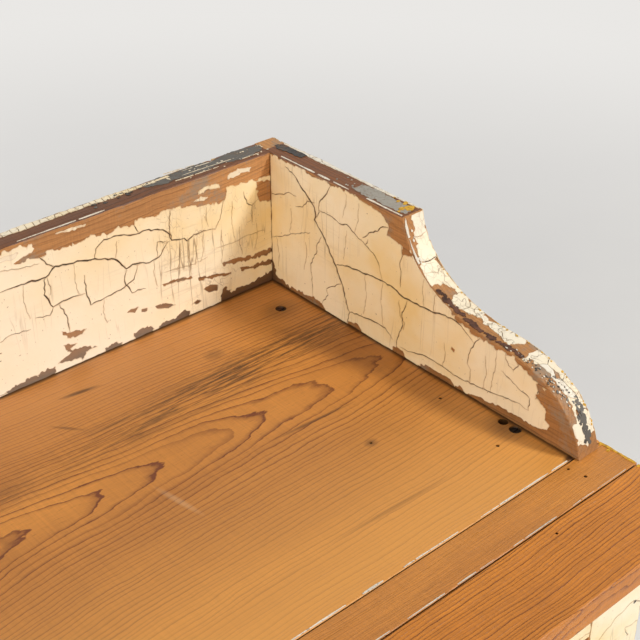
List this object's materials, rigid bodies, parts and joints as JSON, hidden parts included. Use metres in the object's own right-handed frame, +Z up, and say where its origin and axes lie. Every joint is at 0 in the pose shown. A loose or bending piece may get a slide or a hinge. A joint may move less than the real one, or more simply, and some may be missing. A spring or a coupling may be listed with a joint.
{
  "type": "dry sink cabinet",
  "caption": "Painted pine dry sink: a plank top with a raised gallery at the back and ends, over a shelved cupboard with hinged panel doors and a turn button.",
  "frame": {"origin": "on the floor, under the middle of the cabinet's overall box", "axes": "+X along the front to the right, +Y from the front to the wall behind, +Z up"},
  "size_m": [1.16, 0.52, 0.8763],
  "materials": {
    "cream_paint": "old cream oil paint, crackled and worn to the wood",
    "oiled_pine": "oiled pine with a golden orange patina",
    "bare_pine": "unfinished pine, aged and dusty",
    "dark_wood": "turned hardwood, hand worn",
    "black_iron": "blackened iron with a little rust"
  },
  "bodies": {
    "cabinet": {"gallery_back": "cream_paint", "gallery_side_left": "cream_paint", "gallery_side_right": "cream_paint", "case_side_left": "cream_paint", "case_side_right": "cream_paint", "face_stile_left": "cream_paint", "face_stile_right": "cream_paint", "face_stile_centre": "cream_paint", "face_rail_top": "cream_paint", "face_apron": "cream_paint", "top_board_rear": "oiled_pine", "top_board_middle": "oiled_pine", "top_board_front": "oiled_pine", "bottom_board": "bare_pine", "shelf": "bare_pine", "shelf_cleat_rear": "bare_pine", "shelf_cleat_left": "bare_pine", "shelf_cleat_right": "bare_pine", "back_plank_1": "bare_pine", "back_plank_2": "bare_pine", "back_plank_3": "bare_pine", "back_plank_4": "bare_pine", "back_plank_5": "bare_pine", "rear_top_rail": "bare_pine", "top_cleat_left": "bare_pine", "top_cleat_right": "bare_pine", "foot_block_left": "bare_pine", "foot_block_right": "bare_pine", "door_stop_strip": "bare_pine", "top_screw_left_rear": "black_iron", "top_screw_left_front": "black_iron", "top_screw_right_rear": "black_iron", "top_screw_right_front": "black_iron", "hinge_frame_leaf_left_lower": "black_iron", "hinge_frame_leaf_left_upper": "black_iron", "hinge_frame_leaf_right_lower": "black_iron", "hinge_frame_leaf_right_upper": "black_iron", "hinge_pin_left_lower": "black_iron", "hinge_pin_left_upper": "black_iron", "hinge_pin_right_lower": "black_iron", "hinge_pin_right_upper": "black_iron", "turn_button_screw": "black_iron"},
    "door_left": {"door_left_hinge_stile": "cream_paint", "door_left_lock_stile": "cream_paint", "door_left_bottom_rail": "cream_paint", "door_left_top_rail": "cream_paint", "door_left_panel": "cream_paint", "door_left_knob": "dark_wood", "hinge_door_leaf_left_lower": "black_iron", "hinge_door_leaf_left_upper": "black_iron"},
    "door_right": {"door_right_hinge_stile": "cream_paint", "door_right_lock_stile": "cream_paint", "door_right_bottom_rail": "cream_paint", "door_right_top_rail": "cream_paint", "door_right_panel": "cream_paint", "door_right_knob": "dark_wood", "hinge_door_leaf_right_lower": "black_iron", "hinge_door_leaf_right_upper": "black_iron"},
    "turn_button": {"turn_button": "cream_paint"}
  },
  "joints": [
    {"name": "door_left_swing", "type": "hinge", "parent": "cabinet", "child": "door_left", "pos_m": [-0.47875, -0.234, 0.38035], "axis": [0, 0, -1], "range_deg": [0, 170]},
    {"name": "door_right_swing", "type": "hinge", "parent": "cabinet", "child": "door_right", "pos_m": [0.47875, -0.234, 0.38035], "axis": [0, 0, 1], "range_deg": [0, 170]},
    {"name": "turn_button_turn", "type": "hinge", "parent": "cabinet", "child": "turn_button", "pos_m": [0, -0.2348, 0.47035], "axis": [0, 1, 0], "range_deg": [-90, 90]}
  ]
}
